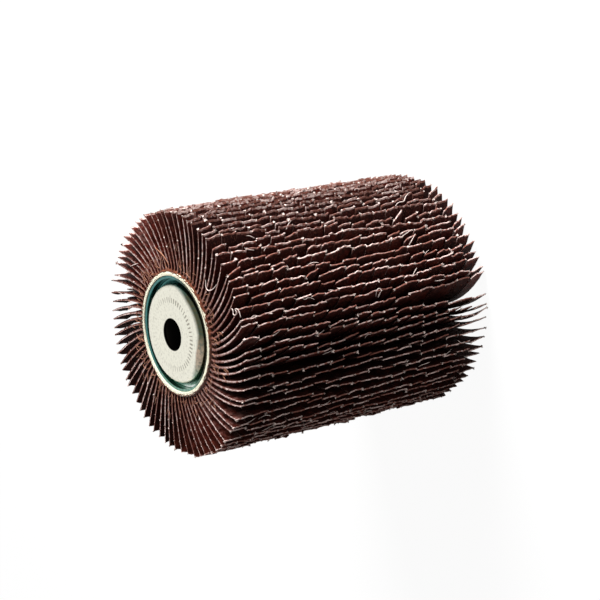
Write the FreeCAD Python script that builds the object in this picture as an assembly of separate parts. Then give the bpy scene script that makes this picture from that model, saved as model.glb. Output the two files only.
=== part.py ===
"""Slashed flap wheel for a satin finishing machine, in millimetres.

The wheel stands on its end. The bore lies along +Z, and the origin is on the bore's axis in the plane
that the rear flange stands on. Seventy-six abrasive cloth flaps are set in a bed of resin on a paper tube.
A pressed steel flange closes each end of the tube, and a spacer tube keeps the two flanges apart.
"""
import FreeCAD
import Part

import math
import os

Vec = FreeCAD.Vector

# Flaps
WHEEL_D = 100.0             # across the tips of the flaps, at the middle of the cloth
FLAP_COUNT = 76
FLAP_WIDTH = 120.0          # along the bore
FLAP_THICKNESS = 0.9        # cloth and grit
LEAN = 11.9                 # degrees round the wheel from the root of the average flap to its tip
LEAN_WAVES = [(1, 3.1, -84.0), (2, 2.1, 44.0)]  # times round the wheel, degrees, place of the peak in degrees
LEAVE_SHARE = 0.6           # slope at which a flap leaves the resin, as a share of the slope to its tip
CURL_FACETS = 4             # flat lengths along the curl
FLAPS_PER_NODE = 2

# Core tube
TUBE_INNER_D = 47.0
TUBE_WALL = 1.8
TUBE_PROUD = 0.6            # past the ends of the flaps

# Resin bed
GLUE_LAYER = 0.5            # between the tube and the roots of the flaps
ROOT_DEPTH = 2.0            # how deep each root stands in the resin
RESIN_INSET = 1.2           # the resin stops short of the ends of the flaps

# Flanges
BORE_D = 13.0
SHEET = 1.2
BOSS_PROUD = 1.8            # past the ends of the flaps
BOSS_SHOULDER_R = 3.2       # outside
SHOULDER_FACETS = 3
FLANK_DRAFT = 16.0          # degrees from the bore's direction
GROOVE_DEPTH = 5.0          # from the top of the boss
GROOVE_WIDTH = 1.4          # at its floor
RIM_INSET = 0.3             # the rim stops short of the end of the tube

# Spacer tube
SPACER_WALL = 2.0

FLAP_BOTTOM = BOSS_PROUD
OVERALL = FLAP_WIDTH + 2 * BOSS_PROUD
TUBE_INNER_R = TUBE_INNER_D / 2
TUBE_OUTER_R = TUBE_INNER_R + TUBE_WALL
ROOT_R = TUBE_OUTER_R + GLUE_LAYER
BED_R = ROOT_R + ROOT_DEPTH
PITCH = 2 * math.pi / FLAP_COUNT


def polar(radius, across, angle, z=0.0):
    """A point at a distance along the direction angle, and at a distance across it."""
    return Vec(
        radius * math.cos(angle) - across * math.sin(angle),
        radius * math.sin(angle) + across * math.cos(angle),
        z,
    )


def flap_lean(angle):
    """How far the flap rooted at an angle leans. It varies slowly round the wheel, as stacked cloth does."""
    lean = LEAN
    for times, degrees, peak in LEAN_WAVES:
        lean += degrees * math.cos(times * (angle - math.radians(peak)))
    return math.radians(lean)


def flap(index):
    """One cloth flap: a straight root in the resin, and a free part that bends there and curls to the tip."""
    angle = index * PITCH
    tip = polar(WHEEL_D / 2, 0, flap_lean(angle))
    chord = Vec(tip.x - BED_R, tip.y, 0)
    slope = math.atan2(chord.y, chord.x)
    leave = slope * LEAVE_SHARE
    turn = 2 * (slope - leave)
    curl = chord.Length / (2 * math.sin(turn / 2))
    half = FLAP_THICKNESS / 2

    def on_curl(offset, step):
        reach = curl - offset
        heading = leave + turn * step / CURL_FACETS
        out = BED_R - curl * math.sin(leave) + reach * math.sin(heading)
        across = curl * math.cos(leave) - reach * math.cos(heading)
        return polar(out, across, angle, FLAP_BOTTOM)

    steps = range(1, CURL_FACETS + 1)
    outline = [polar(ROOT_R, -half, angle, FLAP_BOTTOM), polar(BED_R, -half, angle, FLAP_BOTTOM)]
    outline += [on_curl(-half, step) for step in steps]
    outline += [on_curl(half, step) for step in reversed(steps)]
    outline += [polar(BED_R, half, angle, FLAP_BOTTOM), polar(ROOT_R, half, angle, FLAP_BOTTOM)]
    outline.append(outline[0])
    return Part.Face(Part.makePolygon(outline)).extrude(Vec(0, 0, FLAP_WIDTH))


def ring(outer_r, inner_r, bottom, height):
    """A plain tube that stands on the plane bottom."""
    outer = Part.makeCylinder(outer_r, height, Vec(0, 0, bottom))
    inner = Part.makeCylinder(inner_r, height, Vec(0, 0, bottom))
    return outer.cut(inner)


def core_tube():
    """Rolled paper tube that the flaps are bonded round."""
    return ring(TUBE_OUTER_R, TUBE_INNER_R, FLAP_BOTTOM - TUBE_PROUD, FLAP_WIDTH + 2 * TUBE_PROUD)


def resin_bed():
    """Cast resin round the tube, with one slot for the root of each flap."""
    half = FLAP_THICKNESS / 2
    mouth = math.sqrt(BED_R**2 - half**2)
    edges = []
    for index in range(FLAP_COUNT):
        angle = index * PITCH
        right = polar(mouth, -half, angle)
        right_floor = polar(ROOT_R, -half, angle)
        left_floor = polar(ROOT_R, half, angle)
        left = polar(mouth, half, angle)
        crest = polar(BED_R, 0, angle + PITCH / 2)
        following = polar(mouth, -half, angle + PITCH)
        edges.append(Part.LineSegment(right, right_floor).toShape())
        edges.append(Part.LineSegment(right_floor, left_floor).toShape())
        edges.append(Part.LineSegment(left_floor, left).toShape())
        edges.append(Part.Arc(left, crest, following).toShape())
    height = FLAP_WIDTH - 2 * RESIN_INSET
    bottom = FLAP_BOTTOM + RESIN_INSET
    outside = Part.Face(Part.Wire(edges))
    outside.translate(Vec(0, 0, bottom))
    core = Part.makeCylinder(TUBE_OUTER_R, height, Vec(0, 0, bottom))
    return outside.extrude(Vec(0, 0, height)).cut(core)


def offset_corner(before, here, after, distance):
    """Where the corner lies on a line drawn beside the path, at a distance to its right."""
    first = (here - before).normalize()
    second = (after - here).normalize()
    first_side = Vec(first.z, 0, -first.x)
    second_side = Vec(second.z, 0, -second.x)
    return here + (first_side + second_side) * (distance / (1 + first_side.dot(second_side)))


def round_corner(before, here, after, radius, facets):
    """Points along the tangent arc that rounds a corner."""
    back = (before - here).normalize()
    ahead = (after - here).normalize()
    half_angle = back.getAngle(ahead) / 2
    centre = here + (back + ahead).normalize() * (radius / math.sin(half_angle))
    first = here + back * (radius / math.tan(half_angle)) - centre
    last = here + ahead * (radius / math.tan(half_angle)) - centre
    sweep = math.pi - 2 * half_angle
    points = []
    for step in range(facets + 1):
        turned = sweep * step / facets
        points.append(centre + (first * math.sin(sweep - turned) + last * math.sin(turned)) / math.sin(sweep))
    return points


def front_flange():
    """Pressed steel disc: a flat raised boss with the bore, a groove round it, and a rim that fits the tube."""
    bore_r = BORE_D / 2
    rim_r = TUBE_INNER_R - SHEET
    floor_r = rim_r - GROOVE_WIDTH
    boss_r = floor_r - GROOVE_DEPTH * math.tan(math.radians(FLANK_DRAFT))
    floor = OVERALL - GROOVE_DEPTH
    rim_top = FLAP_BOTTOM + FLAP_WIDTH + TUBE_PROUD - RIM_INSET
    outside = [
        Vec(bore_r, 0, OVERALL),
        Vec(boss_r, 0, OVERALL),
        Vec(floor_r, 0, floor),
        Vec(rim_r, 0, floor),
        Vec(rim_r, 0, rim_top),
    ]
    inside = [
        offset_corner(before, here, after, SHEET)
        for before, here, after in zip(outside, outside[1:], outside[2:])
    ]
    inside.insert(0, Vec(bore_r, 0, OVERALL - SHEET))
    inside.append(Vec(TUBE_INNER_R, 0, rim_top))
    outside[1:2] = round_corner(*outside[:3], BOSS_SHOULDER_R, SHOULDER_FACETS)
    inside[1:2] = round_corner(*inside[:3], BOSS_SHOULDER_R - SHEET, 1)
    section = Part.makePolygon(outside + inside[::-1] + outside[:1])
    return Part.Face(section).revolve(Vec(0, 0, 0), Vec(0, 0, 1), 360)


def rear_flange():
    """The same pressing, turned over and set in the other end of the tube."""
    return front_flange().mirror(Vec(0, 0, OVERALL / 2), Vec(0, 0, 1))


def spacer_tube():
    """Steel tube between the flanges, bored as they are. It takes the pull of the arbor's nut."""
    bore_r = BORE_D / 2
    return ring(bore_r + SPACER_WALL, bore_r, SHEET, OVERALL - 2 * SHEET)


def flap_nodes():
    """The flaps in groups of neighbours, each group in a node of its own."""
    nodes = {}
    for first in range(0, FLAP_COUNT, FLAPS_PER_NODE):
        group = range(first, min(first + FLAPS_PER_NODE, FLAP_COUNT))
        number = first // FLAPS_PER_NODE + 1
        nodes[f"flap_pair_{number:02d}"] = Part.makeCompound([flap(index) for index in group])
    return nodes


def main():
    os.makedirs("parts", exist_ok=True)
    nodes = {
        "core_tube": core_tube(),
        "resin_bed": resin_bed(),
        "front_flange": front_flange(),
        "rear_flange": rear_flange(),
        "spacer_tube": spacer_tube(),
    }
    nodes.update(flap_nodes())
    for name, shape in nodes.items():
        shape.exportStep(f"parts/{name}.step")
        print(name, "volume", round(shape.Volume, 1), "valid", shape.isValid(), "solids", len(shape.Solids))


main()
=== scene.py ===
"""Looks of a slashed flap wheel, built round its frame. Lengths are in metres, angles in degrees."""
import math
import random

import bpy
import numpy as np
from bpy.props import FloatProperty, FloatVectorProperty, IntProperty, PointerProperty
from mathutils import Matrix, Vector


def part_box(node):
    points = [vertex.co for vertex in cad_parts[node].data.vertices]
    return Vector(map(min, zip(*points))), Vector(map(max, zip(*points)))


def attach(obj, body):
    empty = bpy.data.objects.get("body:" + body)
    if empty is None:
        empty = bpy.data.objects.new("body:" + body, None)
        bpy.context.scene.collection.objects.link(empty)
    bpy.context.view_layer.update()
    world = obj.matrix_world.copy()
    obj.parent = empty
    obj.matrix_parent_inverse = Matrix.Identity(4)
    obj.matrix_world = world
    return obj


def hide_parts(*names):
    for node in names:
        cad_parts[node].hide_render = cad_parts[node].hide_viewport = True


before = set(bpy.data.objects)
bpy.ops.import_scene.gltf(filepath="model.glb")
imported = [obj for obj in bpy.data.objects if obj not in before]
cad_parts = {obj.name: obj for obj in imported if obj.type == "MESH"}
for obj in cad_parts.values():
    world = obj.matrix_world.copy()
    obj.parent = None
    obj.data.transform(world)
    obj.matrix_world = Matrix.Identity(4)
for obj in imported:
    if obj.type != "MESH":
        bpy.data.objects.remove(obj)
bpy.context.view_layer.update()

bl_info = {
    "name": "Slashed flap wheel",
    "version": (1, 0, 0),
    "blender": (4, 5, 0),
    "location": "3D View > Sidebar > Flap wheel",
    "description": "Builds the flaps, the hub and the stage of a cylindrical abrasive flap wheel",
    "category": "Mesh",
}

MM = 0.001

# What the frame says of the wheel
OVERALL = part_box("front_flange")[1].z
FLAP_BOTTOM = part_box("flap_pair_01")[0].z
FLAP_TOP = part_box("flap_pair_01")[1].z
TUBE_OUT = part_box("core_tube")[1].x
TUBE_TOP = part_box("core_tube")[1].z
TUBE_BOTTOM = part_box("core_tube")[0].z
TUBE_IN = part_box("front_flange")[1].x
BED_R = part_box("resin_bed")[1].x
SPACER_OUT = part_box("spacer_tube")[1].x
SPACER_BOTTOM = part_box("spacer_tube")[0].z
SHEET = SPACER_BOTTOM
MIDDLE = OVERALL / 2
ROOT_DEPTH = 2.0 * MM
BORE_R = 6.5 * MM
RIM_INSET = 0.3 * MM

# Length of a flap from the resin to its tip, how much of that the wear has bared on average, and how much
# wider the pale cotton is painted at +X as painted light
FREE = 24.5 * MM
TIP_WEAR = 0.3 * MM
PAINTED_LIGHT_TIP_WIDTH = 0.8 * MM

# Sockets of a Mix node that blends two colours, and what makes it blend them
FACTOR, COLOUR_A, COLOUR_B = 0, 6, 7
MIXED = {"output": 2, "data_type": "RGBA"}


def linear(hex_colour):
    """An sRGB hex value as the linear colour that shaders take."""
    parts = [int(hex_colour[i:i + 2], 16) / 255 for i in (1, 3, 5)]
    return tuple(p / 12.92 if p <= 0.04045 else ((p + 0.055) / 1.055) ** 2.4 for p in parts)


def colour(name, hex_colour, description):
    return FloatVectorProperty(
        name=name, description=description, subtype="COLOR", size=3, min=0, max=1,
        default=linear(hex_colour)
    )


def length(name, value, description):
    return FloatProperty(
        name=name, description=description, subtype="DISTANCE", unit="LENGTH", default=value
    )


def amount(name, value, description):
    return FloatProperty(name=name, description=description, default=value)


def number(name, value, description):
    return IntProperty(name=name, description=description, default=value)


class FlapSettings(bpy.types.PropertyGroup):
    count: number("Flaps", 76, "Flaps round the wheel")
    strips: number("Strips", 18, "Strips that the slits make of each flap")
    thickness: length("Thickness", 0.9 * MM, "Cloth and grit together")
    tip_r: length("Tip radius", 49.8 * MM, "From the bore's axis to the flap tips")
    slit: length("Slit", 0.2 * MM, "How far two strips of a flap part at their tips")
    lean: amount("Lean", 11.9, "Degrees round the wheel from a root to its tip")
    stagger: length("Stagger", 0.48 * MM, "How unevenly the tips of neighbouring strips stand")
    seed: number("Seed", 7, "Start of the random draws")
    grit: colour("Grit", "#40120B", "Face that cuts")
    # Painted glint: a lighter colour laid on single grains, standing in for highlights
    grit_painted_glint: colour("Bright grains", "#8A5244", "Grains that catch the light")
    backing: colour("Backing", "#38150F", "Cloth side")
    edge: colour("Cut edge", "#CDB5AF", "Cotton at the cut edges")
    edge_dark: colour("Cut edge, soiled", "#7C4A3E", "Soiled cotton at the cut edges")
    edge_root: colour("Cut edge, root", "#7A4330", "Cotton browned by resin near the roots")
    # Painted light: colour laid on the faces of the paler end strips, where light falls on them
    painted_end_light: colour("Dust", "#6E4C46", "Dust of worn cotton on scrubbed flap ends")
    thread: colour("Thread", "#E6D3CB", "Loose cotton threads")
    thread_amber: colour("Thread, soaked", "#B27A5E", "Threads soaked with resin near the roots")


class HubSettings(bpy.types.PropertyGroup):
    shoulder_r: length("Shoulder", 3.2 * MM, "Rounding of the boss, outside")
    draft: amount("Draft", 16.0, "Degrees of slope on the flank of the boss")
    groove_depth: length("Groove depth", 5.0 * MM, "From the top of the boss")
    groove_width: length("Groove width", 1.4 * MM, "At its floor")
    bend_r: length("Bend", 0.5 * MM, "Rounding at the floor of the groove, outside")
    steps: number("Steps", 160, "Facets round a turned piece")
    seed: number("Seed", 3, "Start of the random draws")
    zinc: colour("Zinc", "#ECEADB", "Plated pressing")
    # Painted highlight: the pale colour of a short stretch of the groove's floor
    zinc_painted_highlight: colour("Zinc, bare", "#FFFFFC", "Where the film is rubbed off")
    film: colour("Film", "#4B817E", "Blue-green film of the plating in the groove")
    film_pale: colour("Film, pale", "#7DA594", "Where the film is thin")
    # Painted reflection: olive and tan laid on the film on one side of the groove and up the boss
    painted_reflection_olive: colour("Film, olive", "#504E38", "Where the film goes olive")
    painted_reflection_tan: colour("Film, tan", "#BCA692", "Where the olive film thins out low on the boss")
    film_r: length("Film radius", 19.7 * MM, "Where the film begins, from the bore's axis")
    ticks: number("Ticks", 54, "Worn tick marks round the bore")
    ticks_r: length("Tick radius", 14.0 * MM, "Middle of the ring of ticks")
    ink: colour("Ticks", "#7F786A", "Tick marks and dirt")
    paper: colour("Paper", "#F0EBD2", "End of the paper tube")
    resin: colour("Resin", "#6E3B26", "Casting resin at the roots")
    steel: colour("Steel", "#24221F", "Spacer tube in the bore")


class StageSettings(bpy.types.PropertyGroup):
    lens: amount("Lens", 102.98, "Focal length in mm on a 36 mm sensor")
    pitch: amount("Pitch", 34.54, "Degrees that the camera looks down")
    roll: amount("Roll", -101.06, "Degrees that the camera is turned on its side")
    place: FloatVectorProperty(
        name="Place", description="Where the camera stands", subtype="TRANSLATION", unit="LENGTH",
        size=3, default=(0.00376, -0.59179, 0.46721)
    )
    ambient: amount("Ambient", 0.09, "Light from all round, next to the lamps")
    floor: colour("Floor", "#F4F4F3", "Plain pale floor")
    white: amount("White", 1.03, "How bright the floor's white shows")
    glow: amount("Glow", 0.92, "Share of the floor that shows plain white. The rest takes shadow")


def choose(*objects):
    """Selects these objects and nothing else. The first is the active one."""
    bpy.ops.object.select_all(action="DESELECT")
    for obj in objects:
        obj.select_set(True)
    bpy.context.view_layer.objects.active = objects[0]


def joined(objects, name):
    """Joins the objects to one, and names it."""
    choose(*objects)
    bpy.ops.object.join()
    bpy.context.object.name = name
    return bpy.context.object


def edit_faces(piece, wanted):
    """Enters edit mode with the wanted faces of the active piece selected, and no others."""
    bpy.ops.object.mode_set(mode="EDIT")
    bpy.ops.mesh.select_mode(type="FACE")
    bpy.ops.mesh.select_all(action="DESELECT")
    bpy.ops.object.mode_set(mode="OBJECT")
    for face in piece.data.polygons:
        face.select = wanted(face)
    bpy.ops.object.mode_set(mode="EDIT")


def turn_outwards():
    """Turns every face of the mesh in edit mode outwards, and leaves edit mode."""
    bpy.ops.mesh.select_all(action="SELECT")
    bpy.ops.mesh.normals_make_consistent(inside=False)
    bpy.ops.object.mode_set(mode="OBJECT")


def points_of(piece):
    """The points of a mesh, one to a row."""
    points = np.empty(len(piece.data.vertices) * 3)
    piece.data.vertices.foreach_get("co", points)
    return points.reshape(-1, 3)


def copy_at(master, points):
    """A copy of a mesh, with its points moved to these."""
    copy = master.copy()
    copy.data = master.data.copy()
    bpy.context.collection.objects.link(copy)
    copy.data.vertices.foreach_set("co", points.ravel())
    return copy


def finish_piece(obj, material_slot, *nodes):
    """Rides the piece on the wheel and hides the solids it stands for."""
    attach(obj, "root")
    if nodes:
        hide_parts(*nodes)
    return obj


# Materials

def add_node(material, kind, inputs=None, output=0, **settings):
    """Adds a node with its settings and links. An input is a value, or the socket that feeds it."""
    made = material.node_tree.nodes.new("ShaderNode" + kind)
    for name, value in settings.items():
        setattr(made, name, value)
    for key, value in (inputs or {}).items():
        if isinstance(value, bpy.types.NodeSocket):
            material.node_tree.links.new(value, made.inputs[key])
        else:
            made.inputs[key].default_value = value
    return made.outputs[output] if made.outputs else made


def new_material(name):
    """An empty material, and the place on the wheel that its patterns read."""
    material = bpy.data.materials.new(name)
    material.use_nodes = True
    material.node_tree.nodes.clear()
    return material, add_node(material, "TexCoord", output="Object")


def finished(material, inputs):
    """Adds the shader that the patterns feed."""
    surface = add_node(material, "BsdfPrincipled", inputs)
    add_node(material, "OutputMaterial", {"Surface": surface})
    return material


def opaque(rgb, dim=1.0):
    return (rgb[0] * dim, rgb[1] * dim, rgb[2] * dim, 1.0)


def patches_of(material, place, size, start, full, most=1.0, detail=5.0, roughness=0.65):
    """A mask of uneven patches of one size. It rises where the noise goes from start to full."""
    noise = add_node(material, "TexNoise", {
        "Vector": place, "Scale": 1 / size, "Detail": detail, "Roughness": roughness,
    })
    return add_node(material, "MapRange", {
        "Value": noise, "From Min": start, "From Max": full, "To Max": most,
    })


def cotton_colour(material, place, flaps):
    """Cotton ends: pale clumps between darker ones, soiled over longer stretches and by strips."""
    tufts = add_node(material, "TexNoise", {
        "Vector": place, "Scale": 1 / (1.3 * MM), "Detail": 3.0, "Roughness": 0.6,
    })
    tone = add_node(material, "Attribute", output="Fac", attribute_name="tone")
    toned = add_node(material, "Math", {0: tone, 1: 0.1, 2: tufts}, operation="MULTIPLY_ADD")
    clumps = add_node(material, "MapRange", {"Value": toned, "From Min": 0.48, "From Max": 0.62})
    cotton = add_node(material, "Mix", {
        FACTOR: clumps, COLOUR_A: opaque(flaps.edge), COLOUR_B: opaque(flaps.edge_dark),
    }, **MIXED)
    soil = add_node(material, "TexNoise", {"Vector": place, "Scale": 1 / (4 * MM), "Detail": 3.0})
    uneven = add_node(material, "Math", {0: soil, 1: tone}, operation="ADD")
    soiling = add_node(material, "MapRange", {
        "Value": uneven, "From Min": 0.7, "From Max": 1.3, "To Max": 0.85,
    })
    return add_node(material, "Mix", {
        FACTOR: soiling, COLOUR_A: cotton, COLOUR_B: opaque(flaps.edge_dark, 0.8),
    }, **MIXED)


def worn_rim(material, place, grainy, flaps):
    """Cotton showing at a strip's rim: all along the tip, and here and there at the sides. It is wider
    towards +X, which is painted light.
    """
    uneven_tip, uneven_side = 0.07, 0.5
    chips = add_node(material, "TexNoise", {
        "Vector": place, "Scale": 1 / (1.1 * MM), "Detail": 3.0, "Roughness": 0.7,
    })
    share = add_node(material, "Attribute", output="Fac", attribute_name="share")
    side = add_node(material, "Attribute", output="Fac", attribute_name="side")
    abscissa = add_node(material, "SeparateXYZ", {0: place})
    # Painted light: the pale cotton at the tips widens towards +X, where the lamps stand
    painted_light_width = add_node(material, "MapRange", {
        "Value": abscissa, "From Min": 5 * MM, "From Max": 50 * MM, "To Max": PAINTED_LIGHT_TIP_WIDTH / FREE,
    })
    reaching = add_node(material, "Math", {0: share, 1: painted_light_width}, operation="ADD")
    ragged_tip = add_node(material, "Math", {
        0: chips, 1: uneven_tip, 2: reaching,
    }, operation="MULTIPLY_ADD")
    worn_from = 1 - TIP_WEAR / FREE + uneven_tip / 2
    tip = add_node(material, "MapRange", {
        "Value": ragged_tip, "From Min": worn_from, "From Max": worn_from + 0.006,
    })
    ragged_side = add_node(material, "Math", {0: chips, 1: uneven_side, 2: side}, operation="MULTIPLY_ADD")
    worn_from = 1 + uneven_side / 2 - 0.02
    sides = add_node(material, "MapRange", {
        "Value": ragged_side, "From Min": worn_from, "From Max": worn_from + 0.07, "To Max": 0.5,
    })
    worn = add_node(material, "Math", {0: tip, 1: sides}, operation="MAXIMUM")
    return add_node(material, "Mix", {
        FACTOR: worn, COLOUR_A: grainy, COLOUR_B: cotton_colour(material, place, flaps),
    }, **MIXED)


def painted_light_on_ends(material, place, clean, flaps):
    """Painted light on the faces of the end strips in the paler sector, which are those with no tone, in
    patches.
    """
    tone = add_node(material, "Attribute", output="Fac", attribute_name="tone")
    outermost = add_node(material, "Attribute", output="Fac", attribute_name="outermost")
    paler = add_node(material, "MapRange", {
        "Value": tone, "From Max": 0.05, "To Min": 0.8, "To Max": 0.0,
    })
    patchy = patches_of(material, place, 3 * MM, 0.45, 0.7, detail=4.0, roughness=0.6)
    # Painted light: the mask of the paler end strips, in patches
    patch_mask = add_node(material, "Math", {0: paler, 1: outermost}, operation="MULTIPLY")
    patch_mask = add_node(material, "Math", {0: patch_mask, 1: patchy}, operation="MULTIPLY")
    return add_node(material, "Mix", {
        FACTOR: patch_mask, COLOUR_A: clean, COLOUR_B: opaque(flaps.painted_end_light),
    }, **MIXED)


def grit_material(flaps):
    """Aluminium oxide grains bonded in resin: dark red-brown and rough, with a painted glint on single
    grains.
    """
    grain = 0.42 * MM
    material, place = new_material("aluminium_oxide_grit")
    grains = add_node(material, "TexVoronoi", {"Vector": place, "Scale": 1 / grain})
    cloudy = patches_of(material, place, 2.6 * MM, 0.42, 0.6)
    body = add_node(material, "Mix", {
        FACTOR: cloudy, COLOUR_A: opaque(flaps.grit, 1.4), COLOUR_B: opaque(flaps.grit, 0.25),
    }, **MIXED)
    tone = add_node(material, "Attribute", output="Fac", attribute_name="tone")
    toned = add_node(material, "Mix", {
        FACTOR: tone, COLOUR_A: body, COLOUR_B: opaque(flaps.grit, 0.3),
    }, **MIXED)
    # Painted glint: single grains drawn lighter, standing in for the highlights they catch
    painted_glint = add_node(material, "MapRange", {
        "Value": grains.node.outputs["Color"], "From Min": 0.72, "From Max": 1.0, "To Max": 0.55,
    })
    grainy = add_node(material, "Mix", {
        FACTOR: painted_glint, COLOUR_A: toned, COLOUR_B: opaque(flaps.grit_painted_glint),
    }, **MIXED)
    relief = add_node(material, "Bump", {"Height": grains, "Distance": 0.12 * MM})
    return finished(material, {
        "Base Color": worn_rim(material, place, painted_light_on_ends(material, place, grainy, flaps), flaps),
        "Roughness": 0.7, "Specular IOR Level": 0.12, "Normal": relief,
    })


def backing_material(flaps):
    """Cotton twill stiffened with brown resin: a matt cloth with its threads at a slant."""
    thread = 0.55 * MM
    material, place = new_material("cotton_twill_backing")
    twill = add_node(material, "TexWave", {
        "Vector": place, "Scale": 1 / (thread * 20), "Distortion": 1.5,
    }, output="Fac", bands_direction="DIAGONAL")
    stain = patches_of(material, place, 2.8 * MM, 0.42, 0.6)
    cloth = add_node(material, "Mix", {
        FACTOR: twill, COLOUR_A: opaque(flaps.backing), COLOUR_B: opaque(flaps.backing, 1.5),
    }, **MIXED)
    stained = add_node(material, "Mix", {
        FACTOR: stain, COLOUR_A: cloth, COLOUR_B: opaque(flaps.backing, 0.35),
    }, **MIXED)
    relief = add_node(material, "Bump", {"Height": twill, "Distance": 0.08 * MM})
    return finished(material, {
        "Base Color": worn_rim(material, place, painted_light_on_ends(material, place, stained, flaps), flaps),
        "Roughness": 0.9, "Specular IOR Level": 0.1, "Normal": relief,
    })


def edge_material(flaps):
    """Cut edge of the cloth: pale cotton ends, browned by resin at the root, with painted shade inside the
    slits.
    """
    material, place = new_material("cut_cotton_edge")
    share = add_node(material, "Attribute", output="Fac", attribute_name="share")
    root = add_node(material, "MapRange", {
        "Value": share, "From Min": 0.0, "From Max": 0.4, "To Min": 0.8, "To Max": 0.0,
    })
    browned = add_node(material, "Mix", {
        FACTOR: root, COLOUR_A: cotton_colour(material, place, flaps), COLOUR_B: opaque(flaps.edge_root),
    }, **MIXED)
    # Painted shade: the cut edges turn dark inside the slits, except near the tips and on the end strips
    near_tip = add_node(material, "MapRange", {"Value": share, "From Min": 0.84, "From Max": 0.97})
    outermost = add_node(material, "Attribute", output="Fac", attribute_name="outermost")
    unshaded = add_node(material, "Math", {0: near_tip, 1: outermost}, operation="MAXIMUM")
    slit = add_node(material, "Mix", {
        FACTOR: unshaded, COLOUR_A: opaque(flaps.edge_dark, 0.3), COLOUR_B: browned,
    }, **MIXED)
    fuzz = add_node(material, "TexNoise", {"Vector": place, "Scale": 1 / (0.8 * MM), "Detail": 4.0})
    relief = add_node(material, "Bump", {"Height": fuzz, "Distance": 0.15 * MM})
    return finished(material, {
        "Base Color": slit, "Roughness": 0.9, "Normal": relief,
        "Specular IOR Level": 0.15, "Sheen Weight": 0.15,
    })


def thread_material(name, colour_of_thread):
    """Loose cotton thread: matt and a little hairy, pale, or amber where resin has soaked it."""
    material, place = new_material(name)
    fuzz = add_node(material, "TexNoise", {"Vector": place, "Scale": 1 / (0.6 * MM), "Detail": 3.0})
    cotton = add_node(material, "Mix", {
        FACTOR: fuzz, COLOUR_A: opaque(colour_of_thread), COLOUR_B: opaque(colour_of_thread, 0.7),
    }, **MIXED)
    relief = add_node(material, "Bump", {"Height": fuzz, "Distance": 0.05 * MM})
    return finished(material, {
        "Base Color": cotton, "Roughness": 0.9, "Normal": relief,
        "Specular IOR Level": 0.2, "Sheen Weight": 0.2,
    })


def radius_of(material, place):
    """Distance from the bore's axis."""
    flat = add_node(material, "VectorMath", {0: place, 1: (1.0, 1.0, 0.0)}, operation="MULTIPLY")
    return add_node(material, "VectorMath", {0: flat}, output="Value", operation="LENGTH")


def paper_material(hub):
    """Spiral-wound paper tube, cut square: cream, with the turns of paper as fine rings."""
    turn = 0.3 * MM
    material, place = new_material("wound_paper")
    radius = radius_of(material, place)
    rings = add_node(material, "Math", {0: radius, 1: 2 * math.pi / turn}, operation="MULTIPLY")
    wave = add_node(material, "Math", {0: rings}, operation="SINE")
    shade = add_node(material, "MapRange", {"Value": wave, "From Min": -1.0, "To Max": 0.3})
    turns = add_node(material, "Mix", {
        FACTOR: shade, COLOUR_A: opaque(hub.paper), COLOUR_B: opaque(hub.paper, 0.9),
    }, **MIXED)
    stain = patches_of(material, place, 4 * MM, 0.6, 0.8, most=0.3, detail=4.0, roughness=0.5)
    stained = add_node(material, "Mix", {
        FACTOR: stain, COLOUR_A: turns, COLOUR_B: opaque(hub.resin, 1.4),
    }, **MIXED)
    relief = add_node(material, "Bump", {"Height": wave, "Distance": 0.03 * MM})
    return finished(material, {"Base Color": stained, "Roughness": 0.5, "Normal": relief})


def tick_marks(material, place, radius, ordinate, clean, hub):
    """Short dark ticks round the bore, worn away on one side."""
    turned_to = add_node(material, "TexGradient", {"Vector": place}, output="Fac", gradient_type="RADIAL")
    counted = add_node(material, "Math", {0: turned_to, 1: math.tau * hub.ticks}, operation="MULTIPLY")
    teeth = add_node(material, "Math", {0: counted}, operation="SINE")
    off_ring = add_node(material, "Math", {0: radius, 1: hub.ticks_r}, operation="SUBTRACT")
    off_ring = add_node(material, "Math", {0: off_ring}, operation="ABSOLUTE")
    on_ring = add_node(material, "MapRange", {
        "Value": off_ring, "From Min": 0.9 * MM, "From Max": 1.2 * MM, "To Min": 1.0, "To Max": 0.0,
    })
    patchy = add_node(material, "TexNoise", {"Vector": place, "Scale": 1 / (5 * MM), "Detail": 3.0})
    legible = add_node(material, "Math", {0: teeth, 1: 0.5, 2: patchy}, operation="MULTIPLY_ADD")
    inked = add_node(material, "MapRange", {
        "Value": legible, "From Min": 0.62, "From Max": 0.85, "To Max": 0.75,
    })
    kept = add_node(material, "MapRange", {
        "Value": ordinate, "From Min": 9 * MM, "From Max": -7 * MM, "To Min": 0.15,
    })
    on_ring = add_node(material, "Math", {0: on_ring, 1: kept}, operation="MULTIPLY")
    ticked = add_node(material, "Math", {0: inked, 1: on_ring}, operation="MULTIPLY")
    return add_node(material, "Mix", {
        FACTOR: ticked, COLOUR_A: clean, COLOUR_B: opaque(hub.ink),
    }, **MIXED)


def painted_highlight_stretch(material, radius, ordinate, pale, film, hub):
    """A painted highlight: a short pale stretch on the groove's floor, low down."""
    highlight = add_node(material, "MapRange", {"Value": radius, "From Min": 20.8 * MM, "From Max": 21.1 * MM})
    for measured, outer, inner in (
        (radius, 22.3 * MM, 21.8 * MM), (ordinate, -4.5 * MM, -1.5 * MM), (ordinate, 7.5 * MM, 5 * MM)
    ):
        end = add_node(material, "MapRange", {"Value": measured, "From Min": outer, "From Max": inner})
        highlight = add_node(material, "Math", {0: highlight, 1: end}, operation="MULTIPLY")
    highlight = add_node(material, "Math", {0: highlight, 1: pale}, operation="MULTIPLY")
    # Painted highlight: the film turns pale zinc along this stretch
    return add_node(material, "Mix", {
        FACTOR: highlight, COLOUR_A: film, COLOUR_B: opaque(hub.zinc_painted_highlight),
    }, **MIXED)


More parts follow.
